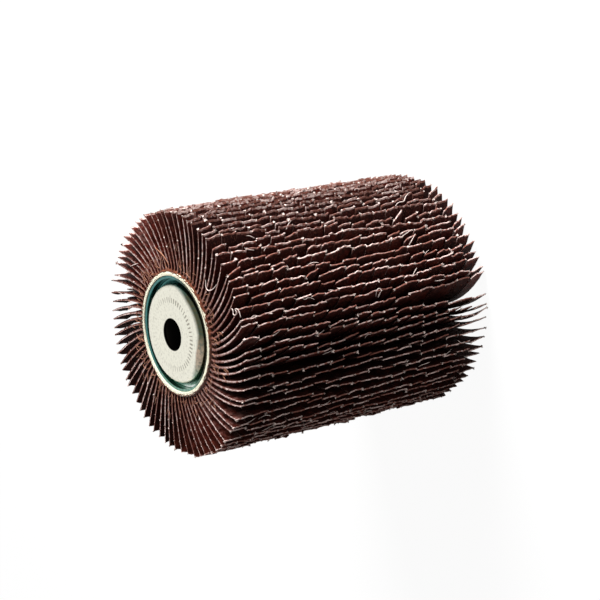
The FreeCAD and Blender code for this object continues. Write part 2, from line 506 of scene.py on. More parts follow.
def groove_film(material, radius, ordinate, bloom, hub):
    """Colour and mask of the film: blue-green, with a painted reflection in olive and tan on one side,
    where the film reaches up the boss.
    """
    abscissa = ordinate.node.outputs["X"]
    # Painted reflection: olive on the -Y side, turning tan low down and nearer the boss
    olive = add_node(material, "MapRange", {"Value": ordinate, "From Min": -6 * MM, "From Max": -15 * MM})
    pale = add_node(material, "MapRange", {"Value": abscissa, "From Min": -8 * MM, "From Max": -18 * MM})
    blue_green = add_node(material, "Mix", {
        FACTOR: pale, COLOUR_A: opaque(hub.film), COLOUR_B: opaque(hub.film_pale),
    }, **MIXED)
    low = add_node(material, "MapRange", {"Value": abscissa, "From Min": -2 * MM, "From Max": -9 * MM})
    thin = add_node(material, "MapRange", {
        "Value": radius, "From Min": 18.8 * MM, "From Max": 21.6 * MM, "To Min": 1.0, "To Max": 0.0,
    })
    tan_reflection_share = add_node(material, "Math", {0: low, 1: thin}, operation="MULTIPLY")
    painted_reflection = add_node(material, "Mix", {
        FACTOR: tan_reflection_share, COLOUR_A: opaque(hub.painted_reflection_olive), COLOUR_B: opaque(hub.painted_reflection_tan),
    }, **MIXED)
    film = add_node(material, "Mix", {FACTOR: olive, COLOUR_A: blue_green, COLOUR_B: painted_reflection}, **MIXED)
    streaks = add_node(material, "MapRange", {
        "Value": bloom, "From Min": 0.4, "From Max": 0.65, "To Max": 0.5,
    })
    streaked = add_node(material, "Mix", {
        FACTOR: streaks, COLOUR_A: film, COLOUR_B: opaque(hub.film, 0.35),
    }, **MIXED)
    # On the side of the painted reflection the film reaches further up the boss, more so low down
    reach = add_node(material, "Math", {0: low, 1: 1.2 * MM, 2: 1.3 * MM}, operation="MULTIPLY_ADD")
    reaching = add_node(material, "Math", {0: olive, 1: reach, 2: radius}, operation="MULTIPLY_ADD")
    groove = add_node(material, "MapRange", {
        "Value": reaching, "From Min": hub.film_r - 0.3 * MM, "From Max": hub.film_r + 0.9 * MM,
    })
    return painted_highlight_stretch(material, radius, ordinate, pale, streaked, hub), groove


def zinc_material(hub):
    """Bright zinc plating on a pressing: satin on the boss, glossy with a blue-green film in the groove."""
    material, place = new_material("zinc_plated_pressing")
    radius = radius_of(material, place)
    bloom = add_node(material, "TexNoise", {"Vector": place, "Scale": 1 / (1.2 * MM), "Detail": 5.0})
    bloomed = add_node(material, "MapRange", {
        "Value": bloom, "From Min": 0.5, "From Max": 0.72, "To Max": 0.45,
    })
    satin = add_node(material, "Mix", {
        FACTOR: bloomed, COLOUR_A: opaque(hub.zinc), COLOUR_B: opaque(hub.zinc, 0.62),
    }, **MIXED)

    ordinate = add_node(material, "SeparateXYZ", {0: place}, output="Y")
    stamped = tick_marks(material, place, radius, ordinate, satin, hub)
    dirt = patches_of(material, place, 0.7 * MM, 0.62, 0.74, most=0.5, detail=2.0, roughness=0.7)
    spotted = add_node(material, "Mix", {
        FACTOR: dirt, COLOUR_A: stamped, COLOUR_B: opaque(hub.ink),
    }, **MIXED)

    film, groove = groove_film(material, radius, ordinate, bloom, hub)
    plated = add_node(material, "Mix", {FACTOR: groove, COLOUR_A: spotted, COLOUR_B: film}, **MIXED)
    rough = add_node(material, "MapRange", {
        "Value": bloom, "From Min": 0.3, "From Max": 0.7, "To Min": 0.34, "To Max": 0.5,
    })
    gloss = add_node(material, "Mix", {0: groove, 2: rough, 3: 0.2}, data_type="FLOAT")
    # Painted shade: the zinc turns dark at the lip of the bore and down its wall
    outside = add_node(material, "MapRange", {
        "Value": radius, "From Min": BORE_R + 0.05 * MM, "From Max": BORE_R + 0.25 * MM,
    })
    oil_and_shade = add_node(material, "Mix", {
        FACTOR: outside, COLOUR_A: opaque(hub.steel, 0.3), COLOUR_B: plated,
    }, **MIXED)
    spots = add_node(material, "TexVoronoi", {"Vector": place, "Scale": 1 / (0.9 * MM)})
    relief = add_node(material, "Bump", {"Height": spots, "Distance": 0.015 * MM})
    return finished(material, {"Base Color": oil_and_shade, "Metallic": 1.0, "Roughness": gloss, "Normal": relief})


def steel_material(hub):
    """Drawn steel tube with oil on it: dark grey, with faint lines along it."""
    material, place = new_material("drawn_steel")
    lines = add_node(material, "Mapping", {"Vector": place, "Scale": (1.0, 1.0, 0.03)})
    drawn = add_node(material, "TexNoise", {"Vector": lines, "Scale": 1 / (0.5 * MM), "Detail": 3.0})
    oil_and_shade = add_node(material, "Mix", {
        FACTOR: drawn, COLOUR_A: opaque(hub.steel), COLOUR_B: opaque(hub.steel, 0.5),
    }, **MIXED)
    relief = add_node(material, "Bump", {"Height": drawn, "Distance": 0.02 * MM})
    return finished(material, {"Base Color": oil_and_shade, "Metallic": 1.0, "Roughness": 0.45, "Normal": relief})


def resin_material(hub):
    """Casting resin: amber-brown, half glossy, cloudy with powdered grit."""
    material, place = new_material("casting_resin")
    clouds = add_node(material, "TexNoise", {
        "Vector": place, "Scale": 1 / (1.1 * MM), "Detail": 5.0, "Roughness": 0.65,
    })
    patch_mask = add_node(material, "MapRange", {"Value": clouds, "From Min": 0.38, "From Max": 0.62})
    cast = add_node(material, "Mix", {
        FACTOR: patch_mask, COLOUR_A: opaque(hub.resin), COLOUR_B: opaque(hub.resin, 0.25),
    }, **MIXED)
    relief = add_node(material, "Bump", {"Height": clouds, "Distance": 0.3 * MM})
    return finished(material, {
        "Base Color": cast, "Roughness": 0.45, "Specular IOR Level": 0.3, "Normal": relief,
    })


# Flaps

# Slow waves in the lean: times round the wheel, degrees, place of the peak
LEAN_WAVES = [(1, 3.1, -84.0), (2, 2.1, 44.0)]
# Slope at which a flap leaves the resin, as a share of the slope to its tip
LEAVE_SHARE = 0.6

# Where flap tips stand apart: place round the wheel, height, half the height, opening
OPENINGS = [
    (-96.9, FLAP_BOTTOM, 50 * MM, 5.4 * MM),
    (-116.0, 98 * MM, 15 * MM, 2.0 * MM),
    (-67.0, 70 * MM, 22 * MM, 1.2 * MM),
    (-133.0, FLAP_TOP, 12 * MM, 2.6 * MM),
    (-80.0, 40 * MM, 12 * MM, 1.4 * MM),
    (-52.0, 30 * MM, 18 * MM, 1.2 * MM),
    (60.0, FLAP_TOP, 12 * MM, 2.4 * MM),
    (150.0, 50 * MM, 20 * MM, 2.8 * MM),
]
# Where the flaps' ends are drawn paler, fray more and carry painted light on their faces, in degrees round
# the wheel
PALE_LIT_ENDS = (205, 272)
# How far, in flaps, the neighbours of an opening are pushed together
CROWDING = 2.6
# How much of a flap's thickness is grit, and what is left of grit and cloth at a worn tip
GRIT_SHARE = 0.42
WORN_GRIT = 0.45
WORN_CLOTH = 0.58
# The most that chance moves a tip round the wheel
FREEDOM = 1.25 * MM
# Into how many lengths and widths a strip's faces are divided
STRIP_STEPS = 6
STRIP_COLUMNS = 4
# How strips differ: the middle and the spread of chance, in mm
STRAY = {
    "tilt": (-0.28, 0.12),
    "twist": (0, 0.15),
    "reach": (-0.15, 0.34),
    "cup": (-0.12, 0.22),
    "splay": (0, 0.05),
    "ragged": (0, 0.2),
    "frayed": (0, 0.12),
}
# The shortest and the longest that wear leaves a strip, in mm from the tips of the others
WORN_SHORTEST, WORN_LONGEST = -1.1, 0.3
# Share of the strips that stand apart from the one below, share that are bent aside, and how far, in mm
STEPPED, BENT = 0.85, 0.03
BENT_ASIDE = 0.9
# How far the end strips spread along the bore and twist at the upper and at the lower end, in mm
END_SPLAY = (0.2, 0.9)
END_TWIST = {1: 0.25, -1: 1.0}
# Share of the strips' corners that are frayed, and the same where the ends are drawn paler
FRAYED_SHARE, PALE_ENDS_FRAYED_SHARE = 0.6, 1.0
# How far a flap waves from its bottom to its top, in mm: sideways, and along the bore for one radian
WAVE_ASIDE = 0.25
WAVE_REACH = (14, 24)
# How much more a bent strip twists, and the middle and the spread of a strip's tone
BENT_TWIST = 2.5
TONES = (0.5, 0.28)
# Share of a strip's free length past which its points are at the tip, and where its sides begin to fray
AT_TIP, FRAYS_FROM = 0.99, 0.3
# Two points this close are at the same place
NEAR = 0.01 * MM


def flap_lean(flaps, angle):
    lean = flaps.lean
    for times, degrees, peak in LEAN_WAVES:
        lean += degrees * math.cos(times * (angle - math.radians(peak)))
    return math.radians(lean)


def opening_shift(flaps, tip_angle, height):
    """How far the tips stand aside at the openings, in metres round the wheel."""
    pitch = math.tau / flaps.count
    shift = 0
    for place, middle, reach, gap in OPENINGS:
        apart = (tip_angle - math.radians(place) + math.pi) % math.tau - math.pi
        fade = max(0, 1 - ((height - middle) / reach) ** 2)
        shift += math.copysign(gap / 2, apart) * fade * math.exp(-abs(apart) / pitch / CROWDING)
    return shift


def grit_line(flaps):
    """Where grit and cloth meet, across a strip laid flat."""
    return flaps.thickness * (GRIT_SHARE - 0.5)


def flat_strip(flaps):
    """One strip laid flat: the root at x = 0, the tip at +X, the width along Z and the grit towards -Y."""
    width = (FLAP_TOP - FLAP_BOTTOM) / flaps.strips
    bpy.ops.mesh.primitive_cube_add(size=1, location=(ROOT_DEPTH / 2, 0, 0))
    strip = bpy.context.object
    strip.name = "strip"
    bpy.ops.transform.resize(value=(ROOT_DEPTH, flaps.thickness, width))
    bpy.ops.object.transform_apply(location=True, rotation=True, scale=True)
    edit_faces(strip, lambda face: face.normal.x > 0.9)
    for _ in range(STRIP_STEPS):
        bpy.ops.mesh.extrude_region_move(TRANSFORM_OT_translate={"value": (FREE / STRIP_STEPS, 0, 0)})
    cuts = [((0, grit_line(flaps), 0), (0, 1, 0))]
    for column in range(1, STRIP_COLUMNS):
        cuts.append(((0, 0, width * (column / STRIP_COLUMNS - 0.5)), (0, 0, 1)))
    for place, direction in cuts:
        bpy.ops.mesh.select_all(action="SELECT")
        bpy.ops.mesh.bisect(plane_co=place, plane_no=direction)
    turn_outwards()
    return strip


def paint_strip(strip, flaps, materials):
    """Grit on the -Y side and on its layer of the edges, cloth on the +Y side, cotton ends on the rest."""
    for material in materials:
        strip.data.materials.append(material)
    for face in strip.data.polygons:
        if face.normal.y > 0.9:
            face.material_index = 1
        elif face.normal.y < -0.9 or face.center.y < grit_line(flaps):
            face.material_index = 0
        else:
            face.material_index = 2


def curled(flat, flaps, angle, shape):
    """The flat strip's points on its curl. shape holds how this strip differs from its neighbours."""
    along, across, height = flat[:, 0] - ROOT_DEPTH, flat[:, 1], flat[:, 2]
    half = float(np.abs(height).max())
    place = height / half
    share = np.clip(along / FREE, 0, None)
    columns = np.linspace(-1, 1, STRIP_COLUMNS + 1)
    ragged = np.interp(place, columns, shape["ragged"])
    frayed = np.interp(place, columns, shape["frayed"]) * (share > AT_TIP)
    tip_r = flaps.tip_r + shape["reach"]
    lean = flap_lean(flaps, angle) + shape["aside"] / flaps.tip_r
    chord = np.array([tip_r * math.cos(lean) - BED_R, tip_r * math.sin(lean)])
    slope = math.atan2(chord[1], chord[0])
    leave = slope * LEAVE_SHARE
    turn = 2 * (slope - leave)
    curl = float(np.hypot(*chord)) / (2 * math.sin(turn / 2))
    heading = leave + turn * (share + (share > AT_TIP) * ragged / FREE)
    worn = np.where(across < 0, WORN_GRIT, WORN_CLOTH)
    across = across * (1 + (worn - 1) * share ** 2)
    rooted = along < 0.001 * MM
    out = BED_R - curl * math.sin(leave) + (curl - across) * np.sin(heading)
    out = np.where(rooted, BED_R + along, out)
    aside = np.where(rooted, across, curl * math.cos(leave) - (curl - across) * np.cos(heading))
    narrowed = height * (1 - flaps.slit / (2 * half) * share)
    aside = aside + share ** 2 * (shape["twist"] * place + shape["cup"] * (place ** 2 - 0.5)) + frayed
    cos, sin = math.cos(angle), math.sin(angle)
    up = shape["height"] + narrowed + shape["splay"] * share ** 2
    return np.column_stack([out * cos - aside * sin, out * sin + aside * cos, up])


def stray(draw, name):
    """A draw of how far one strip differs in one way, in metres."""
    middle, spread = STRAY[name]
    return draw.gauss(middle, spread) * MM


def strip_shapes(flaps, angle, draw):
    """How each strip of one flap stands, from the bottom up."""
    width = (FLAP_TOP - FLAP_BOTTOM) / flaps.strips
    tip_angle = angle + flap_lean(flaps, angle)
    phase = draw.uniform(0, math.tau)
    wave = draw.uniform(*WAVE_REACH) * MM
    tilt = stray(draw, "tilt")
    shapes = []
    step = 0
    for index in range(flaps.strips):
        height = FLAP_BOTTOM + (index + 0.5) * width
        if draw.random() < STEPPED:
            step = draw.gauss(0, 1)
        chance = WAVE_ASIDE * MM * math.sin(phase + height / wave) + flaps.stagger * step
        twist = tilt + stray(draw, "twist")
        if draw.random() < BENT:
            chance += draw.choice((-1, 1)) * BENT_ASIDE * MM
            twist *= BENT_TWIST
        shape = {
            "height": height,
            "aside": max(-FREEDOM, min(FREEDOM, chance)) + opening_shift(flaps, tip_angle, height),
            "reach": max(WORN_SHORTEST * MM, min(WORN_LONGEST * MM, stray(draw, "reach"))),
            "twist": twist,
            "cup": stray(draw, "cup"),
            "splay": stray(draw, "splay"),
            "ragged": [stray(draw, "ragged") for _ in range(STRIP_COLUMNS + 1)],
            "frayed": [stray(draw, "frayed") for _ in range(STRIP_COLUMNS + 1)],
            "tone": min(1, max(0, draw.gauss(*TONES))),
            "outermost": {0: -1, flaps.strips - 1: 1}.get(index, 0),
            "fraying": FRAYED_SHARE,
        }
        end = shape["outermost"]
        if end:
            shape["splay"] = end * draw.uniform(*END_SPLAY) * MM
            shape["twist"] -= draw.uniform(0, END_TWIST[end]) * MM
            # In this sector the end strips are drawn paler and carry painted light on their faces
            if PALE_LIT_ENDS[0] < math.degrees(tip_angle) % 360 < PALE_LIT_ENDS[1]:
                shape["tone"], shape["fraying"] = 0, PALE_ENDS_FRAYED_SHARE
        shapes.append(shape)
    return shapes


def give_value(obj, name, values):
    """Writes one number for each point of a mesh, for its materials to read."""
    obj.data.attributes.new(name, "FLOAT", "POINT").data.foreach_set("value", values)


# Points of the strips where the cloth has frayed, filled in as the strips are made. The second value is
# 0 at a tip, and 1 or -1 at the upper or the lower end of a flap
FRAYED = []


def fraying_points(flat, flaps):
    """Which points of a strip may fray: those at its tip's corners, and those along its sides, by end."""
    rim = np.abs(flat[:, 2]).max() - NEAR
    at_rim = (np.abs(flat[:, 1] - grit_line(flaps)) < NEAR) & (np.abs(flat[:, 2]) > rim)
    corners = np.nonzero(at_rim & (flat[:, 0] > flat[:, 0].max() - NEAR))[0]
    along = at_rim & (flat[:, 0] > FRAYS_FROM * FREE)
    ends = {end: np.nonzero(along & (flat[:, 2] * end > 0))[0] for end in (-1, 1)}
    return corners, ends


def curled_strips(strip, flaps, angle, draw):
    """The strips of one flap, each on its own curl. Notes the points where they have frayed."""
    flat = points_of(strip)
    corners, ends = fraying_points(flat, flaps)
    copies = []
    for shape in strip_shapes(flaps, angle, draw):
        points = curled(flat, flaps, angle, shape)
        copy = copy_at(strip, points)
        end = shape["outermost"]
        for name, value in (("tone", shape["tone"]), ("outermost", abs(end))):
            copy.data.attributes[name].data.foreach_set("value", np.full(len(flat), value))
        frayed = [(corner, 0) for corner in corners]
        if end:
            frayed += [(corner, end) for corner in ends[end]]
        FRAYED.extend((points[corner], way) for corner, way in frayed if draw.random() < shape["fraying"])
        copies.append(copy)
    return copies


class FLAPWHEEL_OT_flaps(bpy.types.Operator):
    """Cloth flaps, each slit into strips, two flaps to a piece as in the frame"""
    bl_idname = "flapwheel.flaps"
    bl_label = "Build the flaps"

    def execute(self, context):
        flaps = context.scene.flap_settings
        draw = random.Random(flaps.seed)
        strip = flat_strip(flaps)
        paint_strip(strip, flaps, [grit_material(flaps), backing_material(flaps), edge_material(flaps)])
        choose(strip)
        bpy.ops.object.shade_smooth_by_angle(angle=math.radians(35))
        flat = points_of(strip)
        give_value(strip, "share", np.clip((flat[:, 0] - ROOT_DEPTH) / FREE, 0, 1))
        give_value(strip, "side", np.abs(flat[:, 2]) / np.abs(flat[:, 2]).max())
        give_value(strip, "tone", np.full(len(flat), 0.5))
        give_value(strip, "outermost", np.zeros(len(flat)))
        FRAYED.clear()
        for first in range(0, flaps.count, 2):
            copies = []
            for index in (first, first + 1):
                copies += curled_strips(strip, flaps, index * math.tau / flaps.count, draw)
            pair = first // 2 + 1
            finish_piece(joined(copies, f"flaps_{pair:02d}"), "abrasive_cloth", f"flap_pair_{pair:02d}")
        bpy.data.objects.remove(strip)
        return {"FINISHED"}


# Cotton that has come loose

# Threads on the near face, as (radius in mm, degrees) from end to end
FACE_THREADS = {
    "bar": [(39.8, 39.5), (38.2, 36.0), (36.4, 31.5)],
    "long_leg": [(35.7, 5.1), (32.4, -3.6), (30.5, -6.9), (27.9, -10.6)],
    "short_leg": [(32.2, -3.5), (30.0, 0.2), (27.7, 2.9)],
    "hook": [(35.2, -58.8), (33.0, -62.6), (34.2, -66.4), (38.0, -68.0), (40.6, -67.4)],
    "knot": [
        (42.9, -83.0), (46.4, -82.6), (45.0, -86.6), (48.6, -86.4),
        (47.2, -83.4), (50.0, -84.6), (49.6, -88.0),
    ],
    "arc_inside": [(31.2, -152.0), (30.6, -158.0), (31.4, -164.0)],
    "arc_outside": [(33.4, -146.0), (32.8, -151.0), (34.6, -155.0)],
    "stray": [(41.0, 61.5), (46.5, 60.4), (49.4, 63.4)],
}

SOAKED_THREADS = ("long_leg", "short_leg", "arc_inside", "arc_outside")

# Threads over the tips, as (degrees, height in mm) from end to end
SIDE_THREADS = {
    "slanting": [(-69.7, 34.1), (-67.5, 31.5), (-64.7, 28.6)],
    "slanting_low": [(-84.9, 38.0), (-83.2, 36.5), (-81.4, 34.6)],
    "lying": [(-65.5, 36.8), (-63.8, 33.4), (-62.3, 29.4)],
    "curly": [(-46.6, 28.9), (-44.0, 26.4), (-44.6, 22.8), (-41.0, 20.4), (-38.0, 16.0)],
    "loop": [(-90.6, 58.0), (-88.6, 57.6), (-87.0, 55.8), (-88.4, 54.6), (-90.2, 56.4), (-91.4, 57.0)],
    "tangle": [(-84.6, 96.4), (-86.0, 94.6), (-84.2, 93.4), (-86.2, 91.8), (-84.8, 89.6), (-86.6, 87.4)],
}

# Radius of the drawn threads on the near face and over the tips, and how thin a thread is at its ends
FACE_THREAD_R, SIDE_THREAD_R = 0.2 * MM, 0.17 * MM
THIN_END = 0.55
# How far a thread on the near face is lifted at its ends, and how much more in its middle, in mm
LIFT, LIFT_MORE = 0.15, 0.35
# Scattered threads: how many, and the least and the most of their height, half length and radius, in mm
SCATTERED = 60
SCATTERED_HEIGHT = (6, 118)
SCATTERED_HALF = (1.2, 3.0)
SCATTERED_R = (0.09, 0.15)
# Soaked fibres: how many at each end, the radius where they begin, how far out most and all of them lie,
# and their least and greatest length, in mm
FIBRES_UPPER, FIBRES_LOWER = 200, 140
FIBRES_FROM, FIBRES_MOST, FIBRES_ALL = 25.9, 2.8, 9.0
FIBRE_LENGTH = (1.4, 4.0)


def round_place(radius, degrees, height):
    return (radius * math.cos(math.radians(degrees)), radius * math.sin(math.radians(degrees)), height)


def thread(points, radius):
    """A thread along its points, thinner at its ends, as a mesh."""
    bpy.ops.curve.primitive_nurbs_path_add()
    made = bpy.context.object
    made.data.splines.clear()
    spline = made.data.splines.new("NURBS")
    spline.points.add(len(points) - 1)
    for index, (point, place) in enumerate(zip(spline.points, points)):
        point.co = (*place, 1)
        point.radius = THIN_END if index in (0, len(points) - 1) else 1
    spline.order_u = 3
    spline.use_endpoint_u = True
    spline.resolution_u = 3
    made.data.bevel_depth = radius
    made.data.bevel_resolution = 1
    made.data.use_fill_caps = True
    bpy.ops.object.convert(target="MESH")
    return bpy.context.object


def tuft_master():
    """Five short strands that spread from one root, along +Z, one unit long."""
    strands = []
    for turned_to, reach in ((20, 1.0), (95, 0.6), (160, 0.85), (235, 0.7), (300, 0.9)):
        bpy.ops.mesh.primitive_cone_add(
            vertices=3, radius1=0.34, radius2=0.26, depth=0.5, location=(0, 0, 0.25)
        )
        strands.append(bpy.context.object)
        edit_faces(strands[-1], lambda face: face.normal.z > 0.9)
        lean = Matrix.Rotation(math.radians(turned_to), 3, "Z") @ Vector((0.5, 0, 0.2))
        bpy.ops.mesh.extrude_region_move(TRANSFORM_OT_translate={"value": lean * reach})
        bpy.ops.transform.resize(value=(0.4, 0.4, 0.4))
        bpy.ops.object.mode_set(mode="OBJECT")
    tuft = joined(strands, "tuft")
    bpy.ops.object.transform_apply(location=True, rotation=True, scale=True)
    return tuft


def copied(master, places, name, material, slot_name):
    """Copies of one small mesh, joined to one piece. A place is a size, a turning matrix and a point."""
    flat = points_of(master)
    copies = []
    for size, turned_to, point in places:
        copies.append(copy_at(master, (flat * size) @ np.array(turned_to).T + np.array(point)))
    piece = joined(copies, name)
    piece.data.materials.clear()
    piece.data.materials.append(material)
    bpy.data.objects.remove(master)
    return finish_piece(piece, slot_name)


def tuft_places(draw):
    """Tufts point outwards from the frayed points, each its own way."""
    places = []
    for corner, end in FRAYED:
        outward = Vector((corner[0], corner[1], 0)).normalized() if end == 0 else Vector((0, 0, end))
        outward += Vector((draw.gauss(0, 0.5), draw.gauss(0, 0.5), draw.gauss(0, 0.5)))
        turned_to = outward.to_track_quat("Z", "Y").to_matrix()
        turned_to = turned_to @ Matrix.Rotation(draw.uniform(0, math.tau), 3, "Z")
        size = draw.choice((0.6, 0.8, 1.0, 1.3)) * draw.uniform(0.85, 1.15) * (1 - 0.4 * abs(end)) * MM
        places.append((size, turned_to, Vector(corner) - 0.4 * size * outward.normalized()))
    return places


def fibre_places(draw, count, height, facing):
    """Fibres lie over the flaps' ends round the tube, most of them close to it."""
    places = []
    for _ in range(count):
        radius = (FIBRES_FROM + min(FIBRES_ALL, draw.expovariate(1 / FIBRES_MOST))) * MM
        angle = draw.uniform(0, math.tau)
        aim = angle + draw.gauss(0, 0.7)
        along = Vector((math.cos(aim), math.sin(aim), facing * draw.uniform(-0.05, 0.12))).normalized()
        turned_to = along.to_track_quat("X", "Z").to_matrix()
        size = draw.uniform(*FIBRE_LENGTH) * MM
        lifted = height + facing * draw.uniform(0.05, 0.3) * MM
        places.append((size, turned_to, Vector(round_place(radius, math.degrees(angle), lifted))))
    return places


def face_threads(cotton, soaked):
    """The drawn threads on the near face. Each arches a little off it."""
    threads = []
    for name, route in FACE_THREADS.items():
        path = []
        for step, (radius, degrees) in enumerate(route):
            lift = LIFT + LIFT_MORE * math.sin(math.pi * step / (len(route) - 1))
            path.append(round_place(radius * MM, degrees, FLAP_TOP + lift * MM))
        threads.append(thread(path, FACE_THREAD_R))
        threads[-1].data.materials.append(soaked if name in SOAKED_THREADS else cotton)
    return threads


def side_routes(flaps):
    """Where the drawn threads over the tips run."""
    tip_r = flaps.tip_r - 0.1 * MM
    for route in SIDE_THREADS.values():
        yield [round_place(tip_r, degrees, height * MM) for degrees, height in route]


def scattered_routes(flaps, draw):
    """Where short threads lie scattered over the tips, and the radius of each."""
    tip_r = flaps.tip_r - 0.2 * MM
    routes = []
    for _ in range(SCATTERED):
        degrees, height = draw.uniform(-180, 180), draw.uniform(*SCATTERED_HEIGHT)
        slope, reach = draw.gauss(0, 1.0), draw.uniform(*SCATTERED_HALF)
        bend = draw.gauss(0, 0.7)
        route = []
        for step in (-1, -0.3, 0.4, 1):
            aside = step * slope + bend * (1 - step ** 2)
            route.append(round_place(tip_r, degrees + aside, (height + step * reach) * MM))
        routes.append((route, draw.uniform(*SCATTERED_R) * MM))
    return routes


class FLAPWHEEL_OT_cotton(bpy.types.Operator):
    """Frayed tufts at the strips' corners, and single threads that hang loose"""
    bl_idname = "flapwheel.cotton"
    bl_label = "Fray the cloth"

    def execute(self, context):
        flaps = context.scene.flap_settings
        draw = random.Random(flaps.seed + 1)
        cotton = thread_material("cotton_thread", flaps.thread)
        soaked = thread_material("resin_soaked_thread", flaps.thread_amber)
        copied(tuft_master(), tuft_places(draw), "frayed_cotton", cotton, "abrasive_cloth")

        curve = [(0, 0, 0), (0.3, 0.12, 0.02), (0.65, 0.06, 0.05), (1, -0.16, 0.02)]
        places = fibre_places(draw, FIBRES_UPPER, FLAP_TOP, 1)
        places += fibre_places(draw, FIBRES_LOWER, FLAP_BOTTOM, -1)
        copied(thread(curve, 0.03), places, "soaked_fibres", soaked, "abrasive_cloth")

        threads = face_threads(cotton, soaked)
        routes = [(route, SIDE_THREAD_R) for route in side_routes(flaps)] + scattered_routes(flaps, draw)
        for route, radius in routes:
            threads.append(thread(route, radius))
            threads[-1].data.materials.append(cotton)
        finish_piece(joined(threads, "loose_cotton"), "abrasive_cloth")
        return {"FINISHED"}


# Hub

# Facets round the spacer tube and round a bead of resin
SPACER_STEPS = 96
BEAD_STEPS = 240
# Section of a bead, in mm out from the tube and up from its end
BEAD_SECTION = [
    (-0.5, -0.25), (-0.45, 0.02), (-0.1, 0.06), (0.3, -0.3), (0.6, -0.9), (0.8, -1.8), (-0.3, -2.2),
]
# How often the lumps of a bead repeat round it, and how far the lumps and its ripples stand out
BEAD_LUMPS = (3, 7, 13, 29, 53, 89)
BEAD_SWELL, BEAD_RIPPLE = 0.15 * MM, 0.05 * MM


def round_corner(before, here, after, radius, facets):
    """Points along the tangent arc that rounds a corner of a section, as (radius, height)."""
    before, here, after = Vector(before), Vector(here), Vector(after)
    back, ahead = (before - here).normalized(), (after - here).normalized()
    half_angle = back.angle(ahead) / 2
    centre = here + (back + ahead).normalized() * (radius / math.sin(half_angle))
    first = here + back * (radius / math.tan(half_angle)) - centre
    last = here + ahead * (radius / math.tan(half_angle)) - centre
    sweep = math.pi - 2 * half_angle
    points = []
    for step in range(facets + 1):
        turned_by = sweep * step / facets
        points.append(
            centre + (first * math.sin(sweep - turned_by) + last * math.sin(turned_by)) / math.sin(sweep)
        )
    return [tuple(p) for p in points]


def rounded(corners):
    """A closed section from (radius, height, rounding, facets) corners."""
    points = []
    for index, (r, z, rounding, facets) in enumerate(corners):
        if rounding == 0:
            points.append((r, z))
            continue
        before, after = corners[index - 1][:2], corners[(index + 1) % len(corners)][:2]
        points += round_corner(before, (r, z), after, rounding, facets)
    return points


def turned(name, corners, steps):
    """Draws a closed section point by point and spins it round the bore."""
    points = rounded(corners)
    bpy.ops.mesh.primitive_plane_add(size=MM, location=(0, 0, 0))
    piece = bpy.context.object
    piece.name = name
    bpy.ops.object.mode_set(mode="EDIT")
    bpy.ops.mesh.select_mode(type="VERT")
    bpy.ops.mesh.merge(type="CENTER")
    bpy.ops.transform.translate(value=(points[0][0], 0, points[0][1]))
    for (r, z), (next_r, next_z) in zip(points, points[1:]):
        bpy.ops.mesh.extrude_region_move(TRANSFORM_OT_translate={"value": (next_r - r, 0, next_z - z)})
    bpy.ops.object.mode_set(mode="OBJECT")
    for vertex in piece.data.vertices:
        vertex.select = vertex.index in (0, len(points) - 1)
    bpy.ops.object.mode_set(mode="EDIT")
    bpy.ops.mesh.edge_face_add()
    bpy.ops.mesh.select_all(action="SELECT")
    bpy.ops.mesh.spin(steps=steps, angle=math.tau, center=(0, 0, 0), axis=(0, 0, 1))
    bpy.ops.mesh.select_all(action="SELECT")
    bpy.ops.mesh.remove_doubles(threshold=0.001 * MM)
    turn_outwards()
    bpy.ops.object.shade_smooth_by_angle(angle=math.radians(32))
    return piece


def flange_section(hub):
    """The pressing: boss flat, rounded shoulder, sloping flank, groove and rim, one sheet thick."""
    rim_in = TUBE_IN - SHEET
    floor = OVERALL - hub.groove_depth
    floor_r = rim_in - hub.groove_width
    boss_r = floor_r - hub.groove_depth * math.tan(math.radians(hub.draft))
    rim_top = TUBE_TOP - RIM_INSET
    slope = math.radians(hub.draft)
    # The inner face lies one sheet inside the outer one, so its corners move along both faces
    inner_shift = SHEET * math.tan((math.pi / 2 - slope) / 2)
    return [
        (BORE_R, OVERALL, 0.25 * MM, 3),
        (boss_r, OVERALL, hub.shoulder_r, 12),
        (floor_r, floor, hub.bend_r, 4),
        (rim_in, floor, hub.bend_r, 4),
        (rim_in, rim_top, 0.3 * MM, 3),
        (TUBE_IN, rim_top, 0.3 * MM, 3),
        (TUBE_IN, floor - SHEET, 0.9 * MM, 4),
        (floor_r - inner_shift, floor - SHEET, 0.9 * MM, 4),
        (boss_r - inner_shift, OVERALL - SHEET, hub.shoulder_r - SHEET, 6),
        (BORE_R, OVERALL - SHEET, 0, 0),
    ]


def glue_bead(name, turned_over, draw):
    """Resin squeezed out between the tube and the roots: an uneven ring that laps on to the tube's end."""
    height = TUBE_TOP if not turned_over else OVERALL - TUBE_BOTTOM
    section = [(TUBE_OUT + out * MM, height + up * MM, 0, 0) for out, up in BEAD_SECTION]
    bead = turned(name, section, BEAD_STEPS)
    waves = [(times, draw.uniform(0, math.tau), draw.uniform(0.4, 1.0)) for times in BEAD_LUMPS]
    for vertex in bead.data.vertices:
        angle = math.atan2(vertex.co.y, vertex.co.x)
        lump = sum(size * math.sin(times * angle + phase) for times, phase, size in waves)
        outward = Vector((math.cos(angle), math.sin(angle), 0))
        vertex.co += outward * BEAD_SWELL * lump
        if vertex.co.z > height - 1.2 * MM:
            vertex.co.z += BEAD_RIPPLE * math.sin(41 * angle + waves[0][1]) * math.cos(67 * angle)
    if turned_over:
        for vertex in bead.data.vertices:
            vertex.co.z = OVERALL - vertex.co.z
        choose(bead)
        bpy.ops.object.mode_set(mode="EDIT")
        turn_outwards()
    return finish_piece(bead, "resin")


